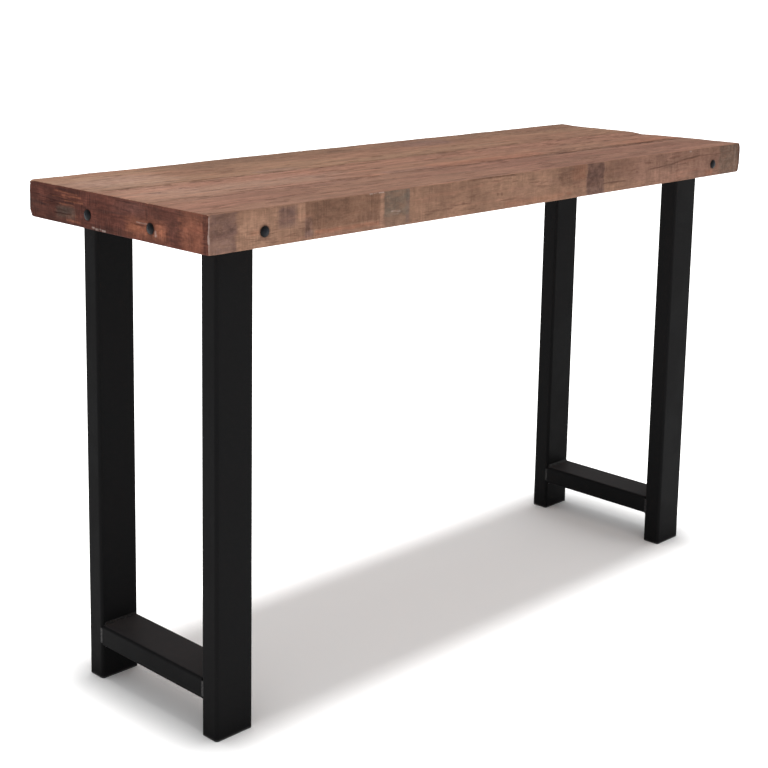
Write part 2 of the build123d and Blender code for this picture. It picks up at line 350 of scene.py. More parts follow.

# Marks, painted light and painted shade on the top, left to right: (mask, x from, x to, y from, y to,
# softness, strength).
TOP_PATCHES = (
    # Painted light: this broad patch makes the left end of the top lighter, as if more light falls there.
    ("light", -765, -560, -260, 260, 50, 0.24),
    # Painted shade: a dark line along the back arris, where the top rounds away.
    ("dark", -760, 760, 241, 256, 2.0, 1.20),
    ("pale", -753, -560, 60, 180, 60, 0.18),
    ("pale", -753, -300, -90, 30, 70, 0.12),
    ("brown", -752, -722, 22, 40, 5, 0.55),
    ("brown", -752, -690, -246, -234, 4, 0.55),
    ("rust", -600, -300, -20, 30, 20, 0.30),
    ("brown", -505, -330, 10, 22, 5, 0.45),
    # Painted shade: this broad patch and the soft 'dark' patches of softness 90 below make the top darker
    # towards its right end and along its back edge.
    ("dark", -470, 760, 158, 260, 36, 0.50),
    ("brown", -420, -398, -228, -218, 3, 0.55),
    ("grey", -390, -290, 48, 74, 12, 0.45),
    ("grey", -215, -50, -100, -76, 9, 0.40),
    ("brown", -190, -60, -92, -80, 5, 0.50),
    ("dark", -120, 470, -120, 158, 90, 0.10),
    ("rust", -80, 260, -92, -60, 16, 0.30),
    ("dark", 60, 500, -250, -60, 90, 0.28),
    ("grey", 110, 260, 150, 215, 20, 0.55),
    ("brown", 305, 350, -88, -72, 5, 0.55),
    ("dark", 360, 760, -250, 158, 90, 0.20),
    ("rust", 480, 753, -104, -60, 18, 0.28),
    ("brown", 585, 650, -114, -98, 6, 0.60),
    ("brown", 590, 735, 38, 50, 5, 0.55),
    ("brown", 715, 753, -10, 40, 9, 0.55),
    # Painted shade: a dark line along the right-hand arris, where the top rounds away.
    ("dark", 751, 760, -250, 250, 2.0, 0.90),
)


def seam_gap(x, seed):
    """How far a board's edge stands back from its seam."""
    return 0.12 + 0.55 * noise(x / 34, 0.5, seed) ** 2


def seam_arris(x, seed):
    """The setback of the small worn arris beside a seam."""
    return 0.25 + 0.75 * noise(x / 45, 0.5, seed) ** 2


def board_grid(us, vs, y_from, y_to, seed, front, back):
    """The upper face's x and y between its worn edges, and its rows' x before the wear."""
    u = us[:, None]
    v = vs[None, :]
    plain_x = -HALF_LENGTH + 2 * HALF_LENGTH * u
    low_y = -HALF_DEPTH + front_arris(plain_x) if front else y_from + seam_gap(plain_x, seed)
    high_y = HALF_DEPTH - back_arris(plain_x) if back else y_to - seam_gap(plain_x, seed + 1)
    y = low_y + (high_y - low_y) * v
    x = (-HALF_LENGTH + left_arris(y)) * (1 - u) + (HALF_LENGTH - right_arris(y)) * u
    return x, y, plain_x[:, 0]


def add_top_splits(masks, sink, x, y, plain_x, y_from, y_to):
    """Cuts the splits that fall on one board, each only in the rows it crosses."""
    beside = 3
    beyond = 20
    for number, (start, end, width, depth) in enumerate(TOP_SPLITS):
        if end[1] < y_from - beside or end[1] > y_to + beside:
            continue
        rows = slice(*np.searchsorted(plain_x, (start[0] - beyond, end[0] + beyond)))
        part = {"crack_and_shadow": masks["crack_and_shadow"][rows]}
        add_crack(part, sink[rows], x[rows], y[rows], (start, end), width, depth, 100 + number)
        masks["crack_and_shadow"][rows] = part["crack_and_shadow"]


def add_seams_and_edges(masks, x, y):
    """Dirt in the two seams, and rubbed timber along the top's outer edges."""
    from_seam = np.minimum(np.abs(y - BACK_SEAM), np.abs(y - FRONT_SEAM))
    dirt = np.exp(-(from_seam / 0.9) ** 2) * (0.12 + 0.5 * noise(x / 50, 0.5, 41))
    masks["crack_and_shadow"] = np.maximum(masks["crack_and_shadow"], dirt)
    from_ends = np.minimum(x + HALF_LENGTH, HALF_LENGTH - x)
    from_sides = np.minimum(y + HALF_DEPTH, HALF_DEPTH - y)
    edge = np.maximum(np.minimum(from_ends, from_sides), 0)
    masks["wear"] = np.exp(-edge / 2.2) * (0.35 + 0.65 * noise(x / 19, y / 19, 43))


def underside_grid(us, vs, y_from, y_to, front, back):
    """The plain underside's points, drawn in by the mitres."""
    inset_low = BOARD if front else 0.0
    inset_high = BOARD if back else 0.0
    x_row = -HALF_LENGTH + BOARD + (2 * HALF_LENGTH - 2 * BOARD) * us
    y_row = y_from + inset_low + (y_to - y_from - inset_low - inset_high) * vs
    x, y = np.meshgrid(x_row, y_row, indexing="ij")
    return np.stack([x, y, np.full(x.shape, TOP_Z - BOARD)], -1)


def top_board(name, y_from, y_to, seed, front=False, back=False):
    """One long top board: a worn, split upper face, mitred ends, and a plain underside."""
    us = spread(2 * HALF_LENGTH, TOP_PITCH_ALONG)
    vs = spread(y_to - y_from, TOP_PITCH_ACROSS)
    x, y, plain_x = board_grid(us, vs, y_from, y_to, seed, front, back)
    sink = top_sink(x, y)
    if not front:
        sink = sink + eased(y - y_from, seam_arris(x, seed + 2))
    if not back:
        sink = sink + eased(y_to - y, seam_arris(x, seed + 3))
    masks = no_marks(x.shape)
    add_patches(masks, TOP_PATCHES, x, y, seed)
    add_top_splits(masks, sink, x, y, plain_x, y_from, y_to)
    # Grain that stands proud, and the slow unevenness of a hand-planed board.
    sink += 0.16 * layered(x / 130, y / 2.6, seed + 4, 2) + 0.10 * layered(x / 40, y / 1.3, seed + 5, 1)
    sink += 0.35 * layered(x / 120, y / 60, seed + 6, 2)
    sink -= sink.min() - 0.02
    add_seams_and_edges(masks, x, y)
    # The four walls come down from the fine upper grid to the coarse one below.
    u_picks = picks_of(len(us), TOP_ROWS_PER_HIDDEN)
    v_picks = picks_of(len(vs), TOP_ROWS_PER_HIDDEN)
    upper = np.stack([x, y, TOP_Z - sink], -1).reshape(-1, 3)
    under = underside_grid(us[u_picks], vs[v_picks], y_from, y_to, front, back).reshape(-1, 3)
    index = np.arange(len(upper)).reshape(x.shape)
    under_index = len(upper) + np.arange(len(under)).reshape(len(u_picks), len(v_picks))
    faces = grid_faces(index) + grid_faces(under_index)
    for side in (0, -1):
        faces += bridge(index[:, side], under_index[:, side], u_picks)
        faces += bridge(index[side, :], under_index[side, :], v_picks)
    flat = {mask: np.append(values.ravel(), np.zeros(len(under))) for mask, values in masks.items()}
    return make_piece(name, np.concatenate([upper, under]), faces, flat)


# ------------ aprons


def mark_apron(sink, s, z, half, patches, cracks, bolts, seed, saw):
    """The masks of an apron's face; its cracks, bolt dips, saw marks and grain go into its depth."""
    from_left = s + half
    from_top = TOP_Z - z
    masks = no_marks(s.shape)
    add_patches(masks, patches, from_left, from_top, seed)
    for number, (points, width, depth) in enumerate(cracks):
        add_crack(masks, sink, from_left, from_top, points, width, depth, seed + 50 + number)
    add_bolt_shadows_and_bruises(masks, sink, from_left, from_top, bolts, seed + 90)
    # Saw marks run up the face; the grain runs along it.
    sink += saw * layered(s / 2.3, z / 38, seed + 2, 2) + 0.10 * layered(s / 60, z / 2.2, seed + 3, 2)
    sink += 0.35 * layered(s / 90, z / 40, seed + 4, 2)
    np.maximum(sink, 0.0, out=sink)
    edge = np.minimum(np.minimum(s + half, half - s), np.minimum(from_top, z - UNDER_Z))
    masks["wear"] = np.exp(-np.maximum(edge, 0) / 1.8) * (0.3 + 0.7 * noise(s / 17, z / 17, seed + 6))
    return masks


def apron_bottom(half, u, plain_s, depth, lower, radius, left, right, seed):
    """Rows of (s, d, z) round the bottom arris, then across the bottom face to the inside."""
    rows = []
    for angle in (0.35, 0.8, 1.2, math.pi / 2):
        d = depth + radius * (1 - math.cos(angle))
        s = (-half + np.maximum(left, d)) * (1 - u) + (half - np.maximum(right, d)) * u
        rows.append((s, d, lower - radius * math.sin(angle)))
    first = depth + radius
    for share in (0.2, 0.5, 0.8, 1.0):
        d = first + (BOARD - first) * share
        s = (-half + d) * (1 - u) + (half - d) * u
        rows.append((s, d, UNDER_Z + 0.12 * (1 - share) * noise(plain_s / 8, share * 5, seed + 8)))
    return rows


def apron(name, half, place, top_line, left_line, right_line, patches, cracks, bolts, seed, saw):
    """A mitred apron, worn and marked on its face and bottom.

    Seen from outside, s runs left to right from -half to half, and d is the depth inwards.
    top_line(s) is the top face's depth over this apron's arris; left_line(z) and right_line(z) are
    the setbacks of its two corners; place(s, d, z) gives the real position."""
    us = spread(2 * half, APRON_PITCH_ALONG)
    u = us[:, None]
    plain_s = -half + 2 * half * u
    upper = TOP_Z - top_line(plain_s)
    radius = 1.4 + 1.0 * noise(plain_s / 40, 0.5, seed) + 1.4 * step(np.abs(plain_s), half - 18, half)
    lower = UNDER_Z + radius
    vs = spread(THICKNESS, APRON_PITCH_DOWN, (0.35, 0.8, 1.4, 2.1, 3.0))
    z = upper + (lower - upper) * vs[None, :]
    left = left_line(z)
    right = right_line(z)
    s = (-half + left) * (1 - u) + (half - right) * u
    sink = eased(TOP_Z - z, top_line(s)) + eased(s + half, left) + eased(half - s, right)
    masks = mark_apron(sink, s, z, half, patches, cracks, bolts, seed, saw)
    rows = [(s, sink, z)]
    rows += apron_bottom(half, u, plain_s, sink[:, -1:], lower, radius, left[:, -1:], right[:, -1:], seed)
    all_s, all_d, all_z = (np.concatenate(parts, 1) for parts in zip(*rows))
    outer = np.stack(place(all_s, all_d, all_z), -1).reshape(-1, 3)
    index = np.arange(len(outer)).reshape(all_s.shape)
    # The inner edge, where the mitre ends: one coarse row that closes the wedge.
    picks = picks_of(len(us), APRON_ROWS_PER_HIDDEN)
    inner_s = (-half + BOARD) + (2 * half - 2 * BOARD) * us[picks]
    inner_d = np.full(len(picks), BOARD)
    inner = np.stack(place(inner_s, inner_d, TOP_Z - inner_d), -1)
    inner_index = len(outer) + np.arange(len(inner))
    faces = grid_faces(index)
    for side in (0, -1):
        faces += bridge(index[:, side], inner_index, picks)
        faces.append(index[side, :].tolist() + [int(inner_index[side])])
    extra = all_s.shape[1] - s.shape[1]
    flat = {}
    for mask, values in masks.items():
        wide = np.concatenate([values, np.repeat(values[:, -1:] * 0.6, extra, 1)], 1)
        flat[mask] = np.append(wide.ravel(), np.zeros(len(inner)))
    return make_piece(name, np.concatenate([outer, inner]), faces, flat)


# Bolt heads on each face: distances from its left end, seen from outside, and below the top.
FRONT_BOLTS = ((114, 38.5), (1402, 38.5))
BACK_BOLTS = ((110, 38.5), (1398, 38.5))
LEFT_BOLTS = ((178.5, 40.5), (348.5, 40.5))
RIGHT_BOLTS = ((143.5, 40.5), (313.5, 40.5))

# Marks on the front, and painted shade at its right-hand corner, left to right: distances from its left
# end, then distances below the top.
FRONT_PATCHES = (
    ("grey", -5, 56, -5, 70, 5, 0.70),
    ("pale", -3, 2.2, 1, 46, 0.8, 0.70),
    ("pale", -3, 1.8, 44, 62, 0.8, 0.35),
    ("dark", 2, 60, -5, 40, 10, 0.72),
    ("brown", 3.5, 8, 3, 60, 2, 0.30),
    ("light", 10, 1500, 30, 75, 14, 0.26),
    ("dark", 47, 56, 8, 70, 3, 0.45),
    ("brown", 58, 122, -5, 14, 6, 0.35),
    ("light", 60, 142, 6, 66, 10, 0.60),
    ("rust", 84, 103, 36, 42, 3, 0.30),
    ("light", 96, 376, 42, 66, 8, 0.26),
    ("light", 96, 186, 38, 66, 8, 0.26),
    ("grey", 144, 182, 4, 36, 6, 0.65),
    ("dark", 147, 178, 6, 33, 6, 0.45),
    ("light", 184, 200, 4, 60, 3, 0.42),
    ("grey", 200, 217, 26, 60, 3, 0.75),
    ("brown", 201, 372, -5, 47, 2, 0.75),
    ("dark", 201, 300, -5, 42, 6, 0.28),
    ("dark", 202, 212, 30, 58, 3, 0.40),
    ("light", 222, 380, 44, 64, 6, 0.42),
    ("rust", 222, 372, 49, 56, 2.4, 0.45),
    ("dark", 230, 236, 44, 50, 2, 0.60),
    ("light", 290, 376, 46, 66, 6, 0.26),
    ("dark", 319, 325, -3, 3, 1.5, 0.80),
    ("light", 330, 376, 44, 62, 5, 0.45),
    ("pale", 347, 355, -3, 2.6, 0.9, 0.95),
    ("pale", 358, 366, -3, 2.0, 0.9, 0.75),
    ("pale", 369, 382, -3, 2.8, 0.9, 0.95),
    ("light", 373, 382, 3, 60, 1.6, 0.75),
    ("green", 383, 445, -5, 46, 1.2, 0.90),
    ("green", 383, 445, 40, 70, 5, 0.45),
    ("dark", 384, 445, -5, 44, 3, 0.10),
    ("dark", 390, 640, -5, 30, 30, 0.22),
    ("pale", 400, 412, 35.5, 37.5, 1.0, 0.42),
    ("pale", 404, 418, 41, 43, 1.2, 0.26),
    ("pale", 412, 423, 37, 39, 1.0, 0.36),
    ("grey", 437, 445, -5, 60, 1.8, 0.90),
    ("light", 447, 512, 4, 60, 8, 0.30),
    ("dark", 522, 570, 2, 50, 12, 0.32),
    ("dark", 582, 590, 40, 44, 1.6, 0.80),
    ("dark", 596, 636, 10, 56, 12, 0.26),
    ("brown", 599, 735, -3, 3.4, 1.3, 1.10),
    ("dark", 606, 728, -3, 2.6, 1.2, 0.60),
    ("light", 650, 856, 4, 60, 40, 0.40),
    ("dark", 679, 684, 32, 38, 1.4, 0.95),
    ("dark", 690, 695, 32, 38, 1.4, 0.85),
    ("rust", 700, 880, 50, 60, 5, 0.25),
    ("dark", 862, 950, -5, 60, 12, 0.36),
    ("brown", 862, 950, -5, 34, 8, 0.40),
    ("rust", 888, 902, 51, 56, 2, 0.45),
    ("rust", 905, 948, -5, 30, 8, 0.35),
    ("grey", 951, 1007, -5, 66, 3.2, 0.62),
    ("brown", 951, 1007, -5, 48, 3.2, 0.42),
    ("dark", 951, 1007, -5, 44, 3.2, 0.88),
    ("dark", 951, 1007, 30, 66, 8, 0.74),
    ("brown", 1010, 1110, -5, 40, 16, 0.40),
    ("dark", 1010, 1500, -5, 34, 16, 0.20),
    ("dark", 1030, 1110, -5, 30, 16, 0.22),
    ("dark", 1116, 1124, 28, 33, 2, 0.70),
    ("light", 1118, 1290, 20, 60, 26, 0.36),
    ("pale", 1309, 1317, 2.5, 5.5, 1.2, 0.60),
    ("dark", 1320, 1440, -5, 70, 14, 0.34),
    ("rust", 1372, 1402, 50, 60, 4, 0.45),
    ("green", 1427, 1503, -5, 70, 5, 0.62),
    ("brown", 1427, 1520, -5, 70, 5, 0.44),
    ("dark", 1427, 1500, -5, 70, 5, 0.42),
    ("pale", 1487, 1493, 6, 62, 2, 0.16),
    # Painted shade: a dark strip down the right-hand corner, where the front rounds away.
    ("dark", 1501, 1520, -5, 70, 3, 1.25),
)
# Cracks: points along each, then its width and depth.
FRONT_CRACKS = (
    (((76, 39.5), (96, 38.5)), 1.4, 0.20),
    (((1004, 45.0), (1040, 44.0), (1082, 45.5)), 1.5, 0.55),
    (((1160, 29.5), (1240, 26.0), (1300, 18.5), (1354, 15.5)), 1.5, 0.60),
    (((1340, 16.0), (1430, 16.5), (1500, 14.5)), 1.0, 0.22),
    (((560, 43.5), (598, 42.5)), 0.9, 0.30),
    (((690, 47.0), (760, 48.0)), 0.7, 0.15),
)

# Marks, painted shade and painted light on the left end, back to front.
LEFT_PATCHES = (
    # Painted shade: these two patches make the left end darker towards its back, darkest along its back
    # corner, where it rounds away.
    ("dark", -5, 210, -5, 70, 110, 0.42),
    ("dark", -5, 30, -5, 70, 12, 0.45),
    ("dark", 60, 100, 18, 26, 5, 0.45),
    ("rust", 78, 122, 18.5, 20, 1.4, 0.80),
    ("rust", 84, 150, 9.5, 11.5, 1.6, 0.95),
    ("green", 90, 142, 34, 53, 8, 0.80),
    ("dark", 92, 134, 36, 50, 6, 1.25),
    ("rust", 96, 140, 29, 31, 1.6, 0.70),
    ("dark", 96, 150, 4, 11, 2.5, 0.65),
    ("rust", 104, 160, 14, 16.5, 1.8, 0.95),
    ("rust", 108, 150, 46, 50, 3, 0.70),
    ("rust", 112, 166, 22, 24.5, 1.8, 0.85),
    ("dark", 113, 160, 3, 9, 2.5, 0.55),
    ("rust", 118, 158, 55, 58, 2, 0.80),
    ("dark", 150, 172, 20, 58, 8, 0.40),
    ("dark", 180, 300, -5, 70, 30, 0.30),
    ("pale", 191, 198, 58.5, 61, 1.0, 0.75),
    ("pale", 200, 209, 59.5, 62, 1.0, 0.70),
    ("pale", 212, 217, 59, 61.5, 1.0, 0.60),
    ("pale", 219, 229, 60, 62.5, 1.0, 0.75),
    ("grey", 250, 330, 2, 26, 18, 0.20),
    ("rust", 286, 392, 31, 56, 12, 0.86),
    ("light", 296, 372, 36, 53, 10, 0.34),
    ("dark", 306, 336, 36.5, 39, 1.0, 0.90),
    ("pale", 312, 342, 33.5, 35, 0.8, 0.40),
    ("dark", 326, 338, 26, 48, 3.0, 0.55),
    # Painted light: this broad patch makes the left end lighter towards its front.
    ("light", 330, 510, -5, 70, 50, 0.76),
    ("pale", 359, 364, 42, 52, 1.4, 0.45),
    ("dark", 386, 400, 26, 60, 3.0, 0.40),
    ("rust", 425, 482, -5, 70, 14, 0.42),
    ("dark", 480, 486, 2, 66, 1.6, 0.75),
    ("pale", 2 * HALF_DEPTH - 1.4, 2 * HALF_DEPTH + 3, 1, 46, 0.6, 0.60),
)
LEFT_CRACKS = (
    (((42, 32.0), (70, 33.5), (100, 32.5)), 0.9, 0.6),
    (((74, 18.0), (120, 22.0), (150, 23.0)), 0.9, 0.6),
    (((80, 47.0), (130, 46.0)), 1.1, 0.8),
    (((86, 40.0), (118, 41.5)), 0.9, 0.5),
    (((296, 37.0), (335, 38.5)), 0.8, 0.4),
    (((225, 55.0), (262, 58.0)), 0.9, 0.5),
    (((370, 8.0), (440, 9.0)), 0.7, 0.3),
)

# The right end and the back are out of sight of the front: the same kinds of mark, placed afresh.
RIGHT_PATCHES = (
    ("brown", -5, 190, -5, 70, 60, 0.35),
    ("green", 205, 268, -5, 70, 2.0, 0.60),
    ("rust", 300, 420, 20, 52, 8.0, 0.55),
    ("grey", 420, 470, -5, 70, 4.0, 0.45),
    ("pale", 268, 273, 4, 58, 1.6, 0.45),
)
RIGHT_CRACKS = (
    (((30, 40.0), (120, 37.0)), 0.9, 1.0),
    (((250, 18.0), (330, 21.0), (400, 20.0)), 0.9, 0.9),
)
BACK_PATCHES = (
    ("green", 60, 132, -5, 70, 3.0, 0.55),
    ("brown", 250, 470, -5, 40, 8.0, 0.50),
    ("grey", 520, 585, -5, 70, 3.0, 0.65),
    ("rust", 600, 760, 34, 60, 9.0, 0.40),
    ("brown", 820, 960, 18, 70, 14, 0.40),
    ("pale", 960, 965, 3, 60, 1.6, 0.45),
    ("green", 1110, 1176, -5, 70, 2.0, 0.70),
    ("rust", 1290, 1420, -5, 70, 25, 0.35),
    ("grey", 1440, 1500, -5, 70, 8.0, 0.40),
)
BACK_CRACKS = (
    (((180, 22.0), (300, 27.0), (410, 24.0)), 1.0, 1.2),
    (((700, 44.0), (840, 41.0)), 1.0, 1.0),
    (((1180, 14.0), (1330, 19.0)), 0.9, 0.9),
)


def build_top():
    """All seven boards of the top."""
    back = top_board("old_top_board_back", BACK_SEAM, HALF_DEPTH, 201, back=True)
    middle = top_board("old_top_board_middle", FRONT_SEAM, BACK_SEAM, 202)
    front = top_board("old_top_board_front", -HALF_DEPTH, FRONT_SEAM, 203, front=True)
    front_apron = apron(
        "old_front_apron", HALF_LENGTH,
        place=lambda s, d, z: (s, -HALF_DEPTH + d, z),
        top_line=lambda s: top_sink(s, -HALF_DEPTH),
        left_line=front_left_corner, right_line=front_right_corner,
        patches=FRONT_PATCHES, cracks=FRONT_CRACKS, bolts=FRONT_BOLTS, seed=301, saw=0.10)
    back_apron = apron(
        "old_back_apron", HALF_LENGTH,
        place=lambda s, d, z: (-s, HALF_DEPTH - d, z),
        top_line=lambda s: top_sink(-s, HALF_DEPTH),
        left_line=back_right_corner, right_line=back_left_corner,
        patches=BACK_PATCHES, cracks=BACK_CRACKS, bolts=BACK_BOLTS, seed=302, saw=0.10)
    left_apron = apron(
        "old_left_end_apron", HALF_DEPTH,
        place=lambda s, d, z: (-HALF_LENGTH + d, -s, z),
        top_line=lambda s: top_sink(-HALF_LENGTH, -s),
        left_line=back_left_corner, right_line=front_left_corner,
        patches=LEFT_PATCHES, cracks=LEFT_CRACKS, bolts=LEFT_BOLTS, seed=303, saw=0.14)
    right_apron = apron(
        "old_right_end_apron", HALF_DEPTH,
        place=lambda s, d, z: (HALF_LENGTH - d, s, z),
        top_line=lambda s: top_sink(HALF_LENGTH, s),
        left_line=front_right_corner, right_line=back_right_corner,
        patches=RIGHT_PATCHES, cracks=RIGHT_CRACKS, bolts=RIGHT_BOLTS, seed=304, saw=0.14)
    return {
        "top_board_back": back, "top_board_middle": middle, "top_board_front": front,
        "front_apron": front_apron, "back_apron": back_apron,
        "left_end_apron": left_apron, "right_end_apron": right_apron,
    }


# ------------ materials


class Nodes:
    """A short way to write a node tree."""

    def __init__(self, name):
        self.material = bpy.data.materials.new(name)
        self.material.use_nodes = True
        self.tree = self.material.node_tree
        self.tree.nodes.clear()
        self.out = self.tree.nodes.new("ShaderNodeOutputMaterial")
        self.shader = self.tree.nodes.new("ShaderNodeBsdfPrincipled")
        self.tree.links.new(self.shader.outputs[0], self.out.inputs["Surface"])

    def link(self, value, socket):
        """Feeds a socket from another socket, or sets it."""
        if hasattr(value, "is_output"):
            self.tree.links.new(value, socket)
        else:
            socket.default_value = value

    def place(self, scale, rotation=(0, 0, 0), offset=(0, 0, 0)):
        """The point in the object's own frame, in metres, scaled for a texture."""
        coordinates = self.tree.nodes.new("ShaderNodeTexCoord")
        mapping = self.tree.nodes.new("ShaderNodeMapping")
        mapping.vector_type = "POINT"
        mapping.inputs["Location"].default_value = offset
        mapping.inputs["Rotation"].default_value = rotation
        mapping.inputs["Scale"].default_value = scale
        self.tree.links.new(coordinates.outputs["Object"], mapping.inputs["Vector"])
        return mapping.outputs["Vector"]

    def noise(self, vector, scale=1.0, detail=3.0, roughness=0.55, distortion=0.0):
        node = self.tree.nodes.new("ShaderNodeTexNoise")
        self.tree.links.new(vector, node.inputs["Vector"])
        node.inputs["Scale"].default_value = scale
        node.inputs["Detail"].default_value = detail
        node.inputs["Roughness"].default_value = roughness
        node.inputs["Distortion"].default_value = distortion
        return node.outputs["Fac"]

    def attribute(self, name):
        node = self.tree.nodes.new("ShaderNodeAttribute")
        node.attribute_name = name
        return node.outputs["Fac"]

    def facing(self):
        """The way the surface faces, as three numbers from -1 to 1."""
        geometry = self.tree.nodes.new("ShaderNodeNewGeometry")
        axes = self.tree.nodes.new("ShaderNodeSeparateXYZ")
        self.tree.links.new(geometry.outputs["Normal"], axes.inputs[0])
        return axes.outputs

    def facing_up(self):
        return self.facing()["Z"]

    def facing_sideways(self):
        """1 where the surface faces straight along X or Y, less where it turns away."""
        axes = self.facing()
        return self.math("MAXIMUM", self.math("ABSOLUTE", axes["X"]), self.math("ABSOLUTE", axes["Y"]))

    def math(self, operation, a, b=0.0, clamp=False):
        node = self.tree.nodes.new("ShaderNodeMath")
        node.operation = operation
        node.use_clamp = clamp
        self.link(a, node.inputs[0])
        self.link(b, node.inputs[1])
        return node.outputs[0]

    def ramp(self, value, low, high, to_low=0.0, to_high=1.0):
        """Smoothly carries low..high to to_low..to_high."""
        node = self.tree.nodes.new("ShaderNodeMapRange")
        node.interpolation_type = "SMOOTHSTEP"
        self.link(value, node.inputs["Value"])
        node.inputs["From Min"].default_value = low
        node.inputs["From Max"].default_value = high
        node.inputs["To Min"].default_value = to_low
        node.inputs["To Max"].default_value = to_high
        return node.outputs["Result"]

    def mix(self, share, a, b, how="MIX"):
        """Mixes two colours, each a socket or three numbers."""
        node = self.tree.nodes.new("ShaderNodeMix")
        node.data_type = "RGBA"
        node.blend_type = how
        self.link(share, node.inputs[0])
        for value, socket in ((a, node.inputs[6]), (b, node.inputs[7])):
            self.link(value if hasattr(value, "is_output") else (*value, 1.0), socket)
        return node.outputs[2]

    def bump(self, height, distance, strength=1.0):
        node = self.tree.nodes.new("ShaderNodeBump")
        node.inputs["Strength"].default_value = strength
        node.inputs["Distance"].default_value = distance
        self.tree.links.new(height, node.inputs["Height"])
        self.tree.links.new(node.outputs["Normal"], self.shader.inputs["Normal"])


def tinted(colour, red, green, blue):
    """A colour scaled channel by channel."""
    return (colour[0] * red, colour[1] * green, colour[2] * blue)


class Grain(Nodes):
    """A node tree for one board, with noises that run along its grain."""

    def __init__(self, name, along_y, seed, dash_width):
        super().__init__(name)
        self.along_y = along_y
        self.offset = (seed * 3.1, seed * 1.7, seed * 0.9)
        self.cloud = self.lumps(3.0, 13, 4.0)
        self.spots = self.lumps(60, 90, 5.0, 0.72)
        self.streak = self.lumps(9, 150, 4.0, 0.68, 0.3)
        self.fibre = self.lumps(34, 1000, 2.0)
        dash = self.ramp(self.lumps(20, dash_width, 3.0, 0.55, 0.3), 0.575, 0.64)
        gather = self.ramp(self.lumps(4, 26, 3.0, 0.6), 0.45, 0.60, 0.2, 1.0)
        self.dash = self.math("MULTIPLY", dash, gather)

    def lumps(self, along, across, detail=3.0, roughness=0.6, distortion=0.0):
        """Noise with this many lumps per metre along the grain and across it."""
        scale = (across, along, across) if self.along_y else (along, across, across)
        return self.noise(self.place(scale, (0, 0, 0), self.offset), 1.0, detail, roughness, distortion)

    def shade(self, colour, value, low, high, dark, bright):
        """Darkens and brightens a colour by a noise."""
        return self.mix(1.0, colour, self.ramp(value, low, high, dark, bright), "MULTIPLY")


def grain_colour(n, tan, pink, mottle, blotch, streaks):
    """Tan and pink timber, duller and redder in places, speckled and streaked."""
    colour = n.mix(n.ramp(n.cloud, 0.40, 0.60), tan, pink)
    dull = n.ramp(n.lumps(8, 60, 4.0, 0.65, 0.5), 0.50, 0.66, 0.0, 0.40)
    colour = n.mix(dull, colour, tinted(tan, 0.74, 0.74, 0.76))
    flush = n.ramp(n.lumps(6, 85, 4.0, 0.65), 0.55, 0.66, 0.0, 0.26)
    colour = n.mix(flush, colour, tinted(pink, 1.45, 1.24, 1.18))
    stain = n.lumps(26, 11, 4.0, 0.65, 0.4)
    band = n.lumps(5.5, 46, 3.0, 0.6, 0.5)
    colour = n.shade(colour, n.spots, 0.36, 0.64, 1 - 0.13 * mottle, 1 + 0.11 * mottle)
    colour = n.shade(colour, stain, 0.38, 0.62, 1 - 0.11 * blotch, 1 + 0.10 * blotch)
    colour = n.shade(colour, band, 0.38, 0.62, 1 - 0.09 * streaks, 1 + 0.08 * streaks)
    colour = n.shade(colour, n.streak, 0.36, 0.64, 1 - 0.16 * streaks, 1 + 0.12 * streaks)
    return n.shade(colour, n.fibre, 0.3, 0.7, 0.86, 1.10)


def saw_cuts(n, saw):
    """Fine bars across the grain where the saw left them, from below 0 to above it."""
    ridge = n.ramp(n.lumps(420, 26, 2.0, 0.6, 0.2), 0.40, 0.60, -0.7, 0.7)
    bar = n.ramp(n.lumps(210, 18, 4.0, 0.65, 0.3), 0.40, 0.60, -0.6, 0.5)
    sawn = n.ramp(n.lumps(14, 22, 4.0), 0.46, 0.58, 0.15, 1.0)
    return n.math("MULTIPLY", n.math("ADD", ridge, bar), n.math("MULTIPLY", sawn, 0.15 * saw))


# The stains' masks, colours and greatest shares.
STAINS = (
    ("grey", (0.172, 0.104, 0.094), 0.85),
    ("brown", (0.150, 0.076, 0.048), 0.85),
    ("rust", (0.310, 0.112, 0.062), 0.90),
    ("green", (0.150, 0.112, 0.085), 0.95),
    ("pale", (0.52, 0.40, 0.35), 0.95),
)
# Multipliers for the dark and light masks, which hold painted shade and painted light as well as darkened
# and bleached timber.
DARKENED = (0.50, 0.46, 0.48)
BLEACHED_AND_PAINTED_LIGHT = (1.45, 1.50, 1.52)


def stained(n, colour, cut, level):
    """Lays the stains over the timber where their masks are."""
    ragged = n.ramp(n.lumps(60, 110, 5.0, 0.75), 0.36, 0.60, 0.70, 1.12)
    for mask, stain, most in STAINS:
        stain = n.shade(tinted(stain, level, level, level), n.spots, 0.36, 0.64, 0.84, 1.18)
        stain = n.mix(1.0, stain, n.math("ADD", cut, 1.0), "MULTIPLY")
        share = n.math("MULTIPLY", n.attribute(mask), n.math("MULTIPLY", ragged, most), clamp=True)
        colour = n.mix(share, colour, stain)
    return colour


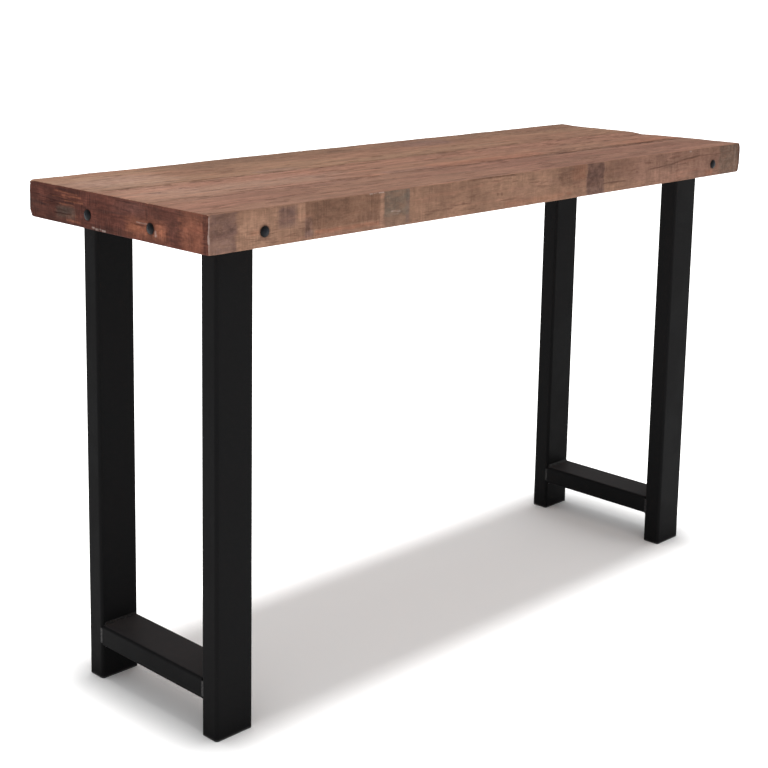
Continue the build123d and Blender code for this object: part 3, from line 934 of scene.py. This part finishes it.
def aged(n, colour, tan, pink):
    """Darkens, bleaches, rubs and splits the timber where those masks are; the same masks also lay the
    painted shade, painted light and painted bolt shadows.
    """
    # The dark mask holds painted shade as well as darkened timber.
    deep = n.ramp(n.spots, 0.36, 0.64, 1.15, 0.75)
    deep = n.math("MULTIPLY", n.attribute("dark"), deep, clamp=True)
    colour = n.mix(deep, colour, n.mix(1.0, colour, DARKENED, "MULTIPLY"))
    # The light mask holds painted light as well as bleached timber.
    faded_and_painted_light = n.ramp(n.spots, 0.36, 0.64, 0.75, 1.15)
    faded_and_painted_light = n.math("MULTIPLY", n.attribute("light"), faded_and_painted_light, clamp=True)
    colour = n.mix(faded_and_painted_light, colour, n.mix(1.0, colour, BLEACHED_AND_PAINTED_LIGHT, "MULTIPLY"))
    colour = n.mix(n.math("MULTIPLY", n.attribute("wear"), 0.14), colour, tinted(pink, 1.5, 1.5, 1.5))
    # The crack mask holds the painted shadow ring round each bolt head as well as the splits.
    split = n.ramp(n.spots, 0.40, 0.58, 0.55, 0.92)
    split = n.math("MULTIPLY", n.attribute("crack_and_shadow"), split, clamp=True)
    return n.mix(split, colour, tinted(tan, 0.30, 0.26, 0.28))


def timber(
        name, tan, pink, along_y=False, mottle=0.5, blotch=0.0, saw=0.3, streaks=1.0, dashes=1.0,
        dash_width=130, level=1.0, seed=0.0, marks=True):
    """Old timber: grain along the board, clouds, dashes, saw marks, and what its masks say.

    Level is how bright the stains are; tan and pink are the two colours the grain drifts between."""
    n = Grain(name, along_y, seed, dash_width)
    colour = grain_colour(n, tan, pink, mottle, blotch, streaks)
    colour = n.mix(n.math("MULTIPLY", n.dash, 0.72 * dashes), colour, tinted(tan, 0.44, 0.36, 0.38))
    cut = saw_cuts(n, saw)
    colour = n.mix(1.0, colour, n.math("ADD", cut, 1.0), "MULTIPLY")
    if marks:
        colour = stained(n, colour, cut, level)
        colour = aged(n, colour, tan, pink)
    n.link(colour, n.shader.inputs["Base Color"])
    wax = n.math("ADD", n.math("MULTIPLY", n.cloud, 0.5), n.math("MULTIPLY", n.streak, 0.5))
    n.link(n.ramp(wax, 0.4, 0.6, 0.70, 0.88), n.shader.inputs["Roughness"])
    n.shader.inputs["Specular IOR Level"].default_value = 0.08
    height = n.math("ADD", n.math("MULTIPLY", n.fibre, 0.25), n.math("MULTIPLY", n.streak, 0.6))
    height = n.math("SUBTRACT", height, n.math("MULTIPLY", n.dash, 0.5))
    height = n.math("ADD", height, n.math("MULTIPLY", cut, 1.6))
    n.bump(height, distance=0.0008, strength=0.8)
    return n.material


def powder_coat(name, tone, warm, dust):
    """Satin black powder coat: a fine orange peel, faint specks, and dust on what faces up."""
    n = Nodes(name)
    peel = n.noise(n.place((520, 520, 520)), detail=2.0, roughness=0.5)
    cloud = n.noise(n.place((9, 9, 9)), detail=3.0, roughness=0.6)
    speck = n.noise(n.place((1400, 1400, 1400)), detail=1.0)
    colour = n.mix(n.ramp(cloud, 0.35, 0.7), tone, warm)
    colour = n.mix(n.ramp(speck, 0.62, 0.72, 0.0, 0.25), colour, (0.03, 0.03, 0.03))
    settled = n.math("MULTIPLY", n.ramp(n.facing_up(), 0.75, 0.98), n.ramp(cloud, 0.35, 0.65, 0.75, 1.0))
    n.link(n.mix(settled, colour, dust), n.shader.inputs["Base Color"])
    n.link(n.ramp(cloud, 0.4, 0.6, 0.50, 0.60), n.shader.inputs["Roughness"])
    n.shader.inputs["Specular IOR Level"].default_value = 0.025
    n.bump(peel, distance=0.00025, strength=0.35)
    return n.material


def weld_coat(name, tone, raised):
    """Powder coat over a weld bead: coarse ripples, rubbed a little brighter on their crests."""
    n = Nodes(name)
    ripple = n.noise(n.place((420, 420, 420)), detail=1.0, roughness=0.4, distortion=0.6)
    crest = n.ramp(ripple, 0.50, 0.66)
    n.link(n.mix(crest, tone, raised), n.shader.inputs["Base Color"])
    n.link(n.ramp(ripple, 0.4, 0.6, 0.50, 0.36), n.shader.inputs["Roughness"])
    n.shader.inputs["Specular IOR Level"].default_value = 0.15
    n.bump(ripple, distance=0.0015, strength=0.9)
    return n.material


def bare_metal(name, tone, darker, roughness, metallic=1.0, sheen=0.3, painted_rim_shade=None):
    """A plated or blackened fastener, with handling marks, and painted shade on a side bolt's dome where
    it turns up or down towards its edge.
    """
    n = Nodes(name)
    cloud = n.noise(n.place((160, 160, 160)), detail=4.0, roughness=0.65)
    grit = n.noise(n.place((900, 900, 900)), detail=2.0)
    colour = n.mix(n.ramp(cloud, 0.35, 0.68), tone, darker)
    # Painted shade: the dome is darkened where it turns up or down towards its edge.
    if painted_rim_shade:
        colour = n.mix(n.ramp(n.facing_sideways(), 0.84, 0.985), painted_rim_shade, colour)
    n.link(colour, n.shader.inputs["Base Color"])
    n.link(n.ramp(grit, 0.3, 0.7, roughness - 0.06, roughness + 0.1), n.shader.inputs["Roughness"])
    n.shader.inputs["Metallic"].default_value = metallic
    n.shader.inputs["Specular IOR Level"].default_value = sheen
    n.bump(cloud, distance=0.0004, strength=0.4)
    return n.material


def moulded_plastic(name, tone):
    """Fine matt black plastic."""
    n = Nodes(name)
    spark = n.noise(n.place((1100, 1100, 1100)), detail=2.0)
    scuff = n.noise(n.place((40, 40, 300)), detail=4.0, roughness=0.7)
    worn = tuple(2.2 * c for c in tone)
    n.link(n.mix(n.ramp(scuff, 0.55, 0.75, 0.0, 0.5), tone, worn), n.shader.inputs["Base Color"])
    n.link(n.ramp(spark, 0.3, 0.7, 0.5, 0.66), n.shader.inputs["Roughness"])
    n.bump(spark, distance=0.0002, strength=0.4)
    return n.material


def dress(piece, material):
    """Gives every material slot of a piece one material."""
    if not piece.material_slots:
        piece.data.materials.append(material)
    for place in piece.material_slots:
        place.material = material


# ------------ stage, light and camera

FLOOR_REACH = 60.0
FLOOR_TONE = 0.97
LAMP_STRENGTH = 2.0
LAMP_WIDTH = math.radians(12)
LIGHT_AT_HORIZON = 0.50
LIGHT_OVERHEAD = 1.00
LIGHT_ON_LEFT = 0.72
# The camera of the reference view: place in metres, turn in radians, lens in millimetres.
CAMERA_PLACE = (-2.2208, -2.0315, 1.3017)
CAMERA_YAW = 0.8026
CAMERA_PITCH = 0.1767
CAMERA_ROLL = 0.0182
CAMERA_LENS = 72.11
CAMERA_SHIFT = -0.1972


def map_range(tree, value, low, high, to_low, to_high):
    """Carries low..high to to_low..to_high in the world's node tree."""
    node = tree.nodes.new("ShaderNodeMapRange")
    tree.links.new(value, node.inputs["Value"])
    node.inputs["From Min"].default_value = low
    node.inputs["From Max"].default_value = high
    node.inputs["To Min"].default_value = to_low
    node.inputs["To Max"].default_value = to_high
    return node.outputs["Result"]


def build_surround(tree):
    """A white tent of light: bright overhead, softer towards the horizon and dimmer on the left."""
    surround = tree.nodes.get("Background")
    coordinates = tree.nodes.new("ShaderNodeTexCoord")
    axes = tree.nodes.new("ShaderNodeSeparateXYZ")
    tree.links.new(coordinates.outputs["Generated"], axes.inputs[0])
    both = tree.nodes.new("ShaderNodeMath")
    both.operation = "MULTIPLY"
    fade = map_range(tree, axes.outputs["Z"], 0.0, 1.0, LIGHT_AT_HORIZON, LIGHT_OVERHEAD)
    side = map_range(tree, axes.outputs["X"], -1.0, 0.2, LIGHT_ON_LEFT, 1.0)
    tree.links.new(fade, both.inputs[0])
    tree.links.new(side, both.inputs[1])
    tree.links.new(both.outputs[0], surround.inputs["Strength"])
    surround.inputs["Color"].default_value = (1, 1, 1, 1)


def build_floor():
    """A wide pale floor at the feet."""
    reach = FLOOR_REACH
    mesh = bpy.data.meshes.new("floor")
    corners = [(-reach, -reach, 0), (reach, -reach, 0), (reach, reach, 0), (-reach, reach, 0)]
    mesh.from_pydata(corners, [], [(0, 1, 2, 3)])
    floor = bpy.data.objects.new("floor", mesh)
    bpy.context.scene.collection.objects.link(floor)
    n = Nodes("pale_floor")
    n.shader.inputs["Base Color"].default_value = (FLOOR_TONE, FLOOR_TONE, FLOOR_TONE, 1)
    n.shader.inputs["Roughness"].default_value = 0.9
    n.shader.inputs["Specular IOR Level"].default_value = 0.1
    dress(floor, n.material)
    return floor


def build_lamp(name):
    """A soft lamp straight overhead, far away."""
    light = bpy.data.lights.new(name, "SUN")
    light.energy = LAMP_STRENGTH
    light.angle = LAMP_WIDTH
    lamp = bpy.data.objects.new(name, light)
    bpy.context.scene.collection.objects.link(lamp)
    return lamp


def build_stage():
    """The floor, the surround, a lamp for everything and a lamp that lights only the floor."""
    floor = build_floor()
    world = bpy.data.worlds.new("studio")
    bpy.context.scene.world = world
    world.use_nodes = True
    build_surround(world.node_tree)
    build_lamp("overhead")
    floor_lamp = build_lamp("overhead_on_floor")
    lit = bpy.data.collections.new("lit_floor")
    lit.objects.link(floor)
    floor_lamp.light_linking.receiver_collection = lit


def build_camera():
    """The view of a person standing off the left front corner."""
    yaw = CAMERA_YAW
    pitch = CAMERA_PITCH
    roll = CAMERA_ROLL
    forward = Vector((math.cos(pitch) * math.sin(yaw), math.cos(pitch) * math.cos(yaw), -math.sin(pitch)))
    level = forward.cross(Vector((0, 0, 1))).normalized()
    upright = level.cross(forward)
    right = math.cos(roll) * level + math.sin(roll) * upright
    up = -math.sin(roll) * level + math.cos(roll) * upright
    lens = bpy.data.cameras.new("camera")
    lens.sensor_width = 36.0
    lens.lens = CAMERA_LENS
    lens.shift_y = CAMERA_SHIFT
    lens.clip_end = 200
    camera = bpy.data.objects.new("camera", lens)
    bpy.context.scene.collection.objects.link(camera)
    turned = Matrix((right, up, -forward)).transposed().to_4x4()
    camera.matrix_world = Matrix.Translation(CAMERA_PLACE) @ turned
    bpy.context.scene.camera = camera


# ------------ putting it together


build_stage()
build_camera()
bpy.context.scene.view_settings.view_transform = "Standard"

top_pieces = build_top()
side_grain = {
    "mottle": 0.7, "blotch": 0.8, "saw": 0.7, "streaks": 0.35, "dashes": 0.6, "dash_width": 210,
    "level": 0.78}
end_grain = {
    "along_y": True, "mottle": 1.2, "blotch": 1.2, "saw": 1.5, "streaks": 1.3, "dashes": 1.3,
    "dash_width": 210}
board_looks = {
    "top_board_back": timber(
        "timber_top_back", tan=(0.250, 0.140, 0.088), pink=(0.245, 0.130, 0.086), seed=1),
    "top_board_middle": timber(
        "timber_top_middle", tan=(0.246, 0.132, 0.086), pink=(0.256, 0.130, 0.089), dashes=1.2, seed=2),
    "top_board_front": timber(
        "timber_top_front", tan=(0.226, 0.120, 0.081), pink=(0.230, 0.117, 0.083), seed=3),
    "front_apron": timber(
        "timber_front", tan=(0.216, 0.119, 0.078), pink=(0.200, 0.108, 0.077), seed=4, **side_grain),
    "back_apron": timber(
        "timber_back", tan=(0.216, 0.119, 0.078), pink=(0.200, 0.108, 0.077), seed=5, **side_grain),
    "left_end_apron": timber(
        "timber_left", tan=(0.086, 0.0315, 0.0220), pink=(0.098, 0.034, 0.0245),
        level=0.80, seed=6, **end_grain),
    "right_end_apron": timber(
        "timber_right", tan=(0.110, 0.046, 0.032), pink=(0.122, 0.052, 0.037),
        level=0.72, seed=7, **end_grain),
}
for node, piece in top_pieces.items():
    dress(piece, board_looks[node])
    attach(piece, "root")
    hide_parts(node)

inside = timber(
    "timber_inside", tan=(0.34, 0.21, 0.12), pink=(0.42, 0.27, 0.16), along_y=True,
    saw=0.6, streaks=0.5, seed=8, marks=False)
steel = powder_coat(
    "satin_black", tone=(0.0060, 0.0060, 0.0063), warm=(0.0074, 0.0071, 0.0074),
    dust=(0.0415, 0.0380, 0.0388))
weld = weld_coat("coated_weld", tone=(0.0075, 0.0073, 0.0075), raised=(0.0400, 0.0370, 0.0370))
# The blackened bolts, with near-black painted shade towards the edge of each dome.
bolt_black = bare_metal(
    "blackened_bolt", tone=(0.0070, 0.0085, 0.0125), darker=(0.0035, 0.0042, 0.0062),
    roughness=0.42, metallic=0.0, sheen=0.13, painted_rim_shade=(0.0008, 0.0008, 0.0010))
zinc = bare_metal("zinc_plate", tone=(0.62, 0.62, 0.60), darker=(0.42, 0.42, 0.41), roughness=0.32)
plastic = moulded_plastic("black_plastic", (0.012, 0.012, 0.012))
fasteners = ("barrel_nuts", "leg_bolts", "leg_bolt_washers", "leg_bolt_inserts", "cross_batten_screws")
for node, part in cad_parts.items():
    if node.endswith("batten") or node == "edge_dowels":
        dress(part, inside)
    elif node.endswith("foot_cap"):
        dress(part, plastic)
    elif node.endswith("weld_beads"):
        dress(part, weld)
    elif node == "dome_head_bolts":
        dress(part, bolt_black)
    elif node in fasteners:
        dress(part, zinc)
    elif node not in top_pieces:
        dress(part, steel)
